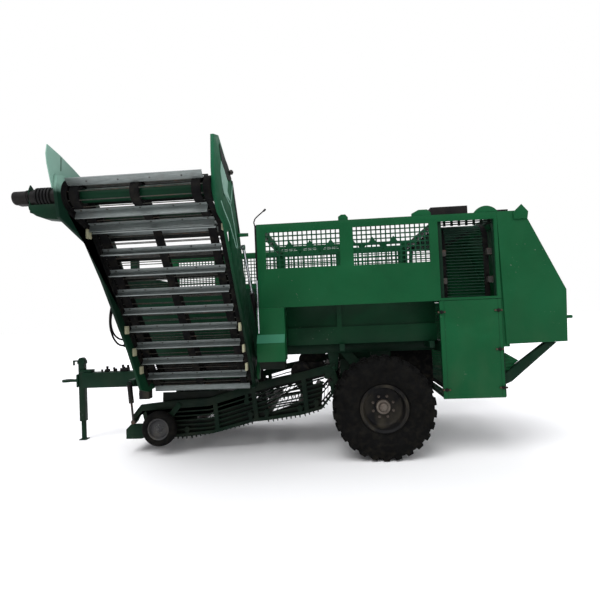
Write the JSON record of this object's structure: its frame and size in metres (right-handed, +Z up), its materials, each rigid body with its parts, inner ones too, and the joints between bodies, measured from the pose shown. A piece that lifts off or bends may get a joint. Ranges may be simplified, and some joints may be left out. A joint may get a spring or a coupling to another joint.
{
  "type": "trailed potato harvester",
  "caption": "Trailed potato harvester: digging unit, rod webs, ring elevator, meshed picking body and a raised side elevator that lowers, on two road wheels and a parking jack.",
  "frame": {"origin": "on the ground, under the middle of the axle", "axes": "+X forward to the towing eye, +Y to the machine's left, +Z up"},
  "size_m": [6.731, 4.398, 3.391],
  "materials": {
    "green_paint": "gloss enamel, weathered",
    "dark_green_paint": "gloss enamel, weathered",
    "pale_green_paint": "gloss enamel",
    "tyre_rubber": "matt rubber",
    "belt_rubber": "matt rubber and bare rod",
    "hose_rubber": "satin rubber",
    "black_paint": "satin paint",
    "flight_steel": "worn bare steel",
    "dark_steel": "dull bare steel",
    "cylinder_black": "satin paint",
    "rod_chrome": "ground and plated",
    "wheel_grey": "silver paint, rubber tyre"
  },
  "bodies": {
    "root": {"axle_beam": "dark_green_paint", "body_side_left": "green_paint", "body_side_right": "green_paint", "chassis_frame": "dark_green_paint", "door_panel_left": "green_paint", "door_panel_right": "green_paint", "drawbar": "green_paint", "elevator_arm": "green_paint", "front_bay": "dark_green_paint", "front_frame": "dark_green_paint", "front_portal": "green_paint", "front_web": "belt_rubber", "inner_walls": "dark_green_paint", "jack_leg": "green_paint", "jack_tube": "green_paint", "lower_guards": "green_paint", "main_web": "belt_rubber", "main_web_boards": "green_paint", "paddle_bar": "green_paint", "picking_table": "belt_rubber", "rear_frame": "green_paint", "rear_hood": "green_paint", "rear_struts": "green_paint", "ring_elevator": "belt_rubber", "ring_guides": "dark_steel", "roof_lugs": "pale_green_paint", "top_fittings": "black_paint", "towing_eye": "green_paint", "web_rollers": "dark_steel", "window_mesh": "green_paint"},
    "digger": {"digger_rollers": "dark_steel", "digger_side_left": "green_paint", "digger_side_right": "green_paint", "digging_web": "belt_rubber", "gauge_arms": "green_paint", "second_web": "belt_rubber", "share": "dark_steel"},
    "elevator": {"elevator_flights": "flight_steel", "elevator_rollers": "green_paint", "elevator_wall_front": "green_paint", "elevator_wall_rear": "green_paint", "elevator_web": "belt_rubber", "head_fin": "pale_green_paint", "head_motor": "black_paint", "hose_lower": "hose_rubber", "hose_ports": "dark_steel", "hose_upper": "hose_rubber", "motor_bracket": "green_paint"},
    "wheel_left": {"tyre_left": "tyre_rubber", "rim_left": "black_paint"},
    "wheel_right": {"tyre_right": "tyre_rubber", "rim_right": "black_paint"},
    "gauge_left": {"gauge_wheel_left": "wheel_grey"},
    "gauge_right": {"gauge_wheel_right": "wheel_grey"},
    "lift_barrel_left": {"lift_barrel_left": "cylinder_black"},
    "lift_rod_left": {"lift_rod_left": "rod_chrome"},
    "lift_barrel_right": {"lift_barrel_right": "cylinder_black"},
    "lift_rod_right": {"lift_rod_right": "rod_chrome"},
    "elevator_barrel": {"elevator_barrel": "cylinder_black"},
    "elevator_rod": {"elevator_rod": "rod_chrome"}
  },
  "joints": [
    {"name": "digger_lift", "type": "hinge", "parent": "root", "child": "digger", "pos_m": [0.56, 0, 1.04], "axis": [0, -1, 0], "range_deg": [-1, 3]},
    {"name": "elevator_lift", "type": "hinge", "parent": "root", "child": "elevator", "pos_m": [2.2, 0.99, 1.02], "axis": [1, 0, 0], "range_deg": [-30, 4]},
    {"name": "wheel_left_spin", "type": "hinge", "parent": "root", "child": "wheel_left", "pos_m": [0, 1.06, 0.6], "axis": [0, 1, 0], "continuous": true},
    {"name": "gauge_left_spin", "type": "hinge", "parent": "digger", "child": "gauge_left", "pos_m": [2.8, 0.9, 0.355], "axis": [0, 1, 0], "continuous": true},
    {"name": "wheel_right_spin", "type": "hinge", "parent": "root", "child": "wheel_right", "pos_m": [0, -1.06, 0.6], "axis": [0, 1, 0], "continuous": true},
    {"name": "gauge_right_spin", "type": "hinge", "parent": "digger", "child": "gauge_right", "pos_m": [2.8, -0.9, 0.355], "axis": [0, 1, 0], "continuous": true},
    {"name": "lift_left_pivot", "type": "hinge", "parent": "root", "child": "lift_barrel_left", "pos_m": [3.203, 0.842, 0.925], "axis": [0, -1, 0], "range_deg": [-0.99, 2.83]},
    {"name": "lift_left_slide", "type": "slide", "parent": "lift_barrel_left", "child": "lift_rod_left", "axis": [-0.0748, 0, -0.9972], "range_m": [-0.14218, 0.04986]},
    {"name": "lift_right_pivot", "type": "hinge", "parent": "root", "child": "lift_barrel_right", "pos_m": [3.203, -0.842, 0.925], "axis": [0, -1, 0], "range_deg": [-0.99, 2.83]},
    {"name": "lift_right_slide", "type": "slide", "parent": "lift_barrel_right", "child": "lift_rod_right", "axis": [-0.0748, 0, -0.9972], "range_m": [-0.14218, 0.04986]},
    {"name": "elevator_cylinder_pivot", "type": "hinge", "parent": "root", "child": "elevator_barrel", "pos_m": [1.48, 0.76, 1.43], "axis": [1, 0, 0], "range_deg": [-31.72, 4.84]},
    {"name": "elevator_cylinder_slide", "type": "slide", "parent": "elevator_barrel", "child": "elevator_rod", "axis": [0, 0.6786, 0.7345], "range_m": [-0.03785, 0.24814]}
  ],
  "couplings": [
    {"joint": "lift_left_pivot", "follows": "digger_lift", "ratio": 0.9195},
    {"joint": "lift_left_slide", "follows": "digger_lift", "m_per_rad": -2.645},
    {"joint": "lift_right_pivot", "follows": "digger_lift", "ratio": 0.9195},
    {"joint": "lift_right_slide", "follows": "digger_lift", "m_per_rad": -2.645},
    {"joint": "elevator_cylinder_pivot", "follows": "elevator_lift", "ratio": 1.0338},
    {"joint": "elevator_cylinder_slide", "follows": "elevator_lift", "m_per_rad": -0.4634}
  ]
}
